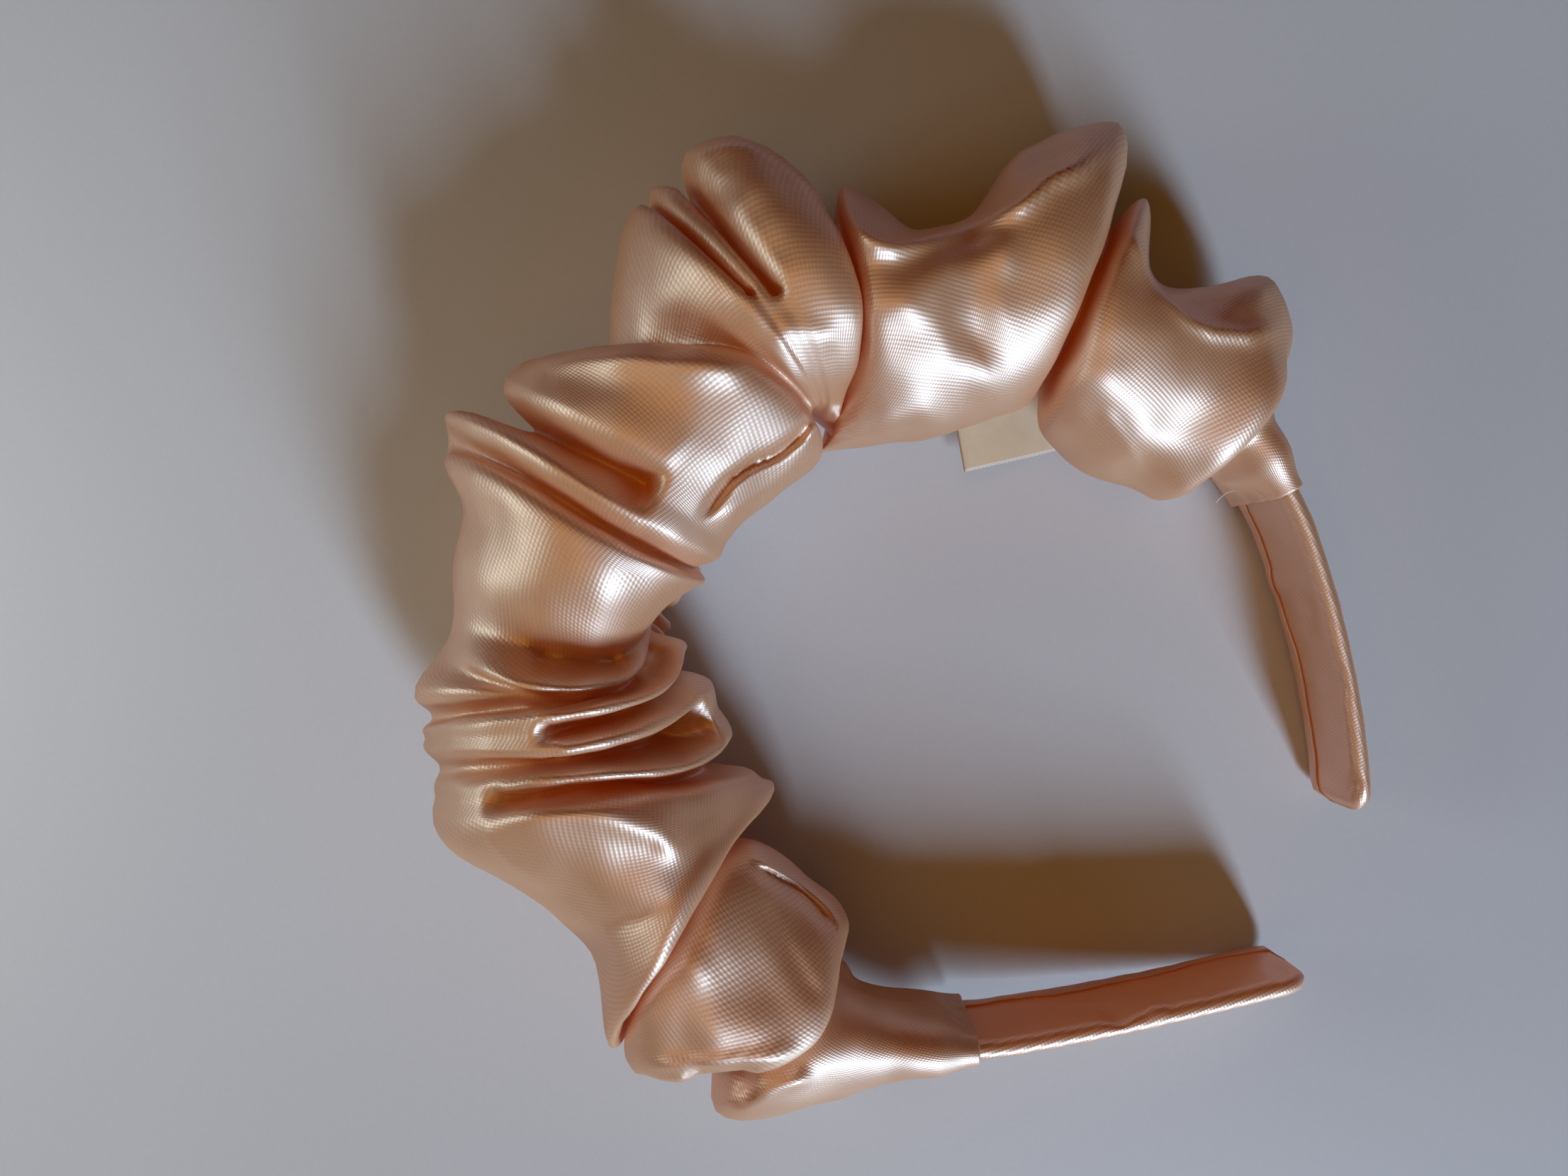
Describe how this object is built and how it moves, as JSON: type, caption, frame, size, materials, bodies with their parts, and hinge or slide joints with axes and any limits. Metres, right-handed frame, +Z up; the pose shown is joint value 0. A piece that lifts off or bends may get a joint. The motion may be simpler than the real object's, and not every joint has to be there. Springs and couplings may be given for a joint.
{
  "type": "satin headband",
  "caption": "Wide open-ended headband wrapped in a tube of gathered satin that leaves both flat tips bare.",
  "frame": {"origin": "bottom centre of the whole headband's bounding box, on the surface it lies on", "axes": "+Z up through the open C, which lies on its side; +Y towards the crown; the tips point to -Y"},
  "size_m": [0.1798, 0.1772, 0.0495],
  "materials": {
    "band_satin": "glossy satin glued over a stiff strip",
    "sleeve_satin": "glossy satin, loosely gathered",
    "label_tape": "matt woven tape"
  },
  "bodies": {
    "root": {"band": "band_satin", "sleeve": "sleeve_satin", "label": "label_tape"}
  },
  "joints": []
}
